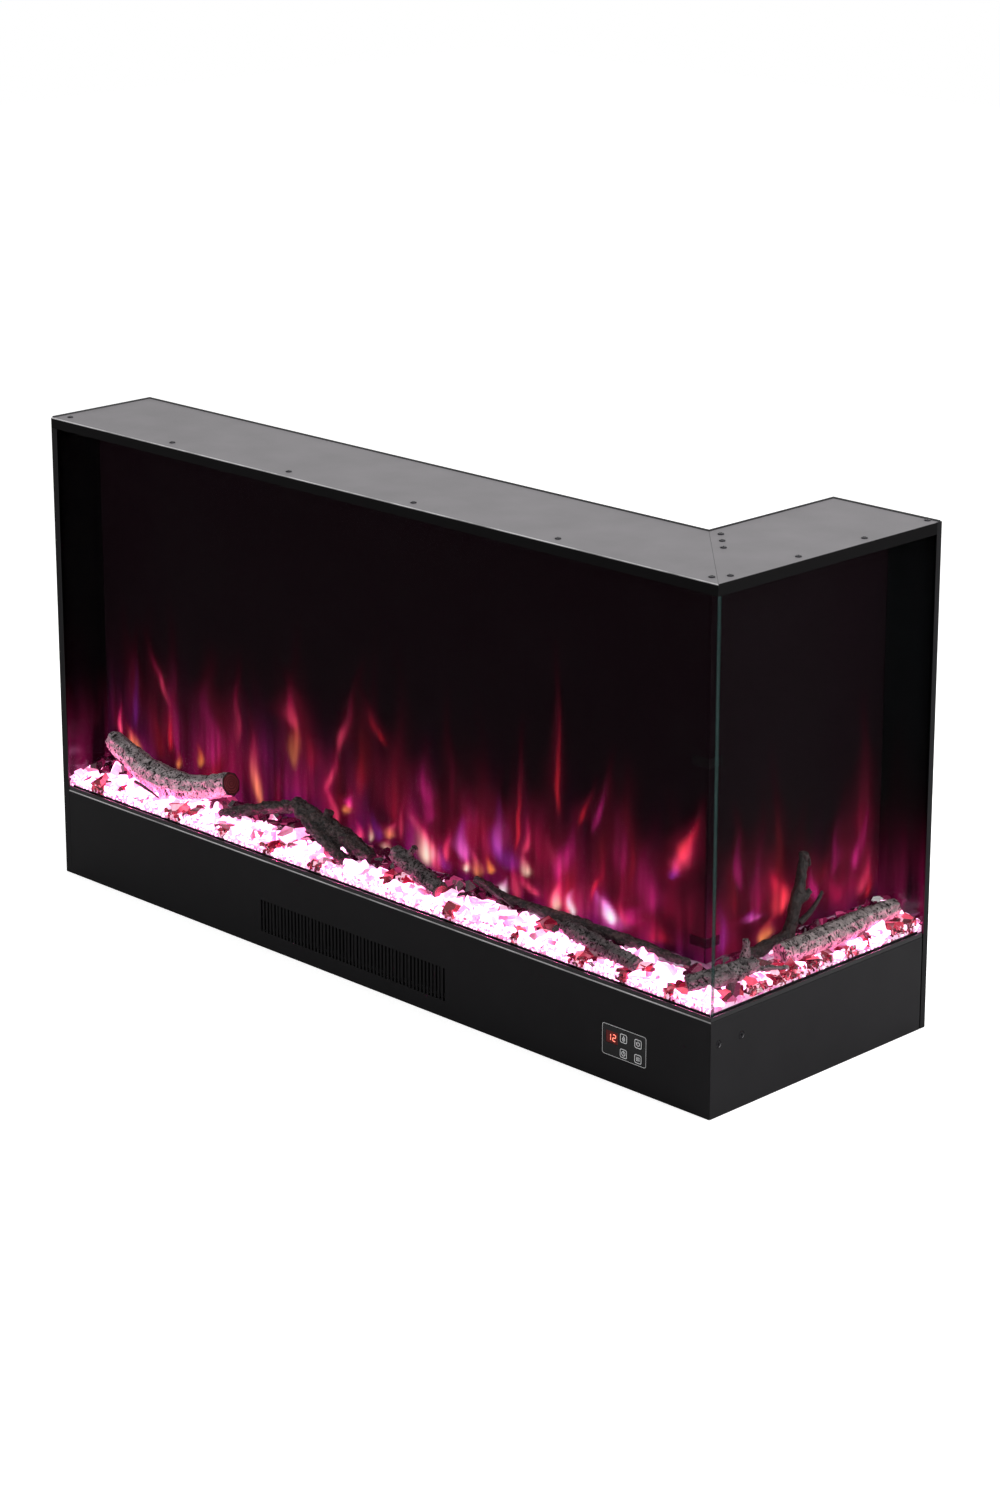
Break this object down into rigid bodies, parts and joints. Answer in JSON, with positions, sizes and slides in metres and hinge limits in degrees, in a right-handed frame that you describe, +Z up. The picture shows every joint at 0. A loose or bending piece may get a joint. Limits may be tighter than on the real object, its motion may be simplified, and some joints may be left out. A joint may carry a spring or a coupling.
{
  "type": "recessed electric fireplace",
  "caption": "Two-sided corner electric fireplace for building into a wall: glass front and side over a steel base with a warm-air grille and a key panel, lit crystals and logs inside.",
  "frame": {"origin": "centre of the bottom face of the whole object's bounding box, on the surface that it stands on", "axes": "+X along the long main leg towards the wing's end, -Y out through the front glass, +Z up"},
  "size_m": [1.2, 0.402, 0.6501],
  "materials": {
    "black_powder_coat": "fine matt powder coat",
    "top_powder_coat": "fine matt powder coat, catching the light from above",
    "zinc_plated_steel": "zinc plated",
    "toughened_glass": "polished, teal at the edges",
    "smoked_acrylic": "smoked and translucent, lit from behind",
    "black_plastic": "satin",
    "gloss_black_acrylic": "glossy",
    "lit_crystals": "crushed acrylic, lit from below",
    "painted_birch_bark": "cast resin painted as grey bark",
    "painted_dark_bark": "cast resin painted as charred bark",
    "polished_foil": "mirror bright",
    "circuit_board": "solder resist",
    "display_window": "dark red filter",
    "heater_ceramic": "matt"
  },
  "bodies": {
    "casing": {"base_pan_main": "black_powder_coat", "base_pan_wing": "black_powder_coat", "blower_motor": "zinc_plated_steel", "branch_forked": "painted_dark_bark", "branch_rear": "painted_dark_bark", "cable_gland": "black_plastic", "control_bezel": "gloss_black_acrylic", "control_board": "circuit_board", "deck_main": "zinc_plated_steel", "deck_wing": "zinc_plated_steel", "display_window": "display_window", "ember_bed_main": "lit_crystals", "ember_bed_wing": "lit_crystals", "ember_leds_main": "circuit_board", "ember_leds_wing": "circuit_board", "ember_tray_main": "toughened_glass", "ember_tray_wing": "toughened_glass", "flame_leds_main": "circuit_board", "flame_leds_wing": "circuit_board", "flame_screen_main": "smoked_acrylic", "flame_screen_wing": "smoked_acrylic", "front_fascia": "black_powder_coat", "front_glass": "toughened_glass", "front_glass_channel": "black_plastic", "front_glass_retainer": "black_powder_coat", "heater_housing": "zinc_plated_steel", "heating_element": "heater_ceramic", "left_end_panel": "black_powder_coat", "log_birch_left": "painted_birch_bark", "log_birch_wing": "painted_birch_bark", "log_corner": "painted_birch_bark", "log_ringed": "painted_birch_bark", "log_short": "painted_birch_bark", "mitre_joint_plate": "zinc_plated_steel", "power_board": "circuit_board", "rear_panel_main": "black_powder_coat", "rear_panel_wing": "black_powder_coat", "root_stump": "painted_dark_bark", "rotor_bearing_main": "black_plastic", "rotor_bearing_wing": "black_plastic", "rotor_motor_main": "zinc_plated_steel", "rotor_motor_wing": "zinc_plated_steel", "screen_clip_lower": "zinc_plated_steel", "screen_clip_upper": "zinc_plated_steel", "side_fascia": "black_powder_coat", "side_glass": "toughened_glass", "side_glass_channel": "black_plastic", "side_glass_retainer": "black_powder_coat", "side_screw_front": "zinc_plated_steel", "side_screw_rear": "zinc_plated_steel", "top_cover_main": "top_powder_coat", "top_cover_wing": "top_powder_coat", "wing_end_panel": "black_powder_coat"},
    "main_rotor": {"flame_rotor_main": "polished_foil"},
    "wing_rotor": {"flame_rotor_wing": "polished_foil"},
    "fan_wheel": {"blower_wheel": "black_plastic"},
    "key_flame_body": {"key_flame": "black_plastic"},
    "key_power_body": {"key_power": "black_plastic"},
    "key_timer_body": {"key_timer": "black_plastic"},
    "key_heat_body": {"key_heat": "black_plastic"}
  },
  "joints": [
    {"name": "main_rotor_spin", "type": "hinge", "parent": "casing", "child": "main_rotor", "pos_m": [0, -0.07325, 0.138], "axis": [1, 0, 0], "continuous": true},
    {"name": "wing_rotor_spin", "type": "hinge", "parent": "casing", "child": "wing_rotor", "pos_m": [0.47425, 0.08, 0.138], "axis": [0, 1, 0], "continuous": true},
    {"name": "fan_wheel_spin", "type": "hinge", "parent": "casing", "child": "fan_wheel", "pos_m": [-0.0156, -0.139, 0.05], "axis": [1, 0, 0], "continuous": true},
    {"name": "key_flame_press", "type": "slide", "parent": "casing", "child": "key_flame_body", "axis": [0, 1, 0], "range_m": [0, 0.0006], "stiffness_N_per_m": 300},
    {"name": "key_power_press", "type": "slide", "parent": "casing", "child": "key_power_body", "axis": [0, 1, 0], "range_m": [0, 0.0006], "stiffness_N_per_m": 300},
    {"name": "key_timer_press", "type": "slide", "parent": "casing", "child": "key_timer_body", "axis": [0, 1, 0], "range_m": [0, 0.0006], "stiffness_N_per_m": 300},
    {"name": "key_heat_press", "type": "slide", "parent": "casing", "child": "key_heat_body", "axis": [0, 1, 0], "range_m": [0, 0.0006], "stiffness_N_per_m": 300}
  ]
}
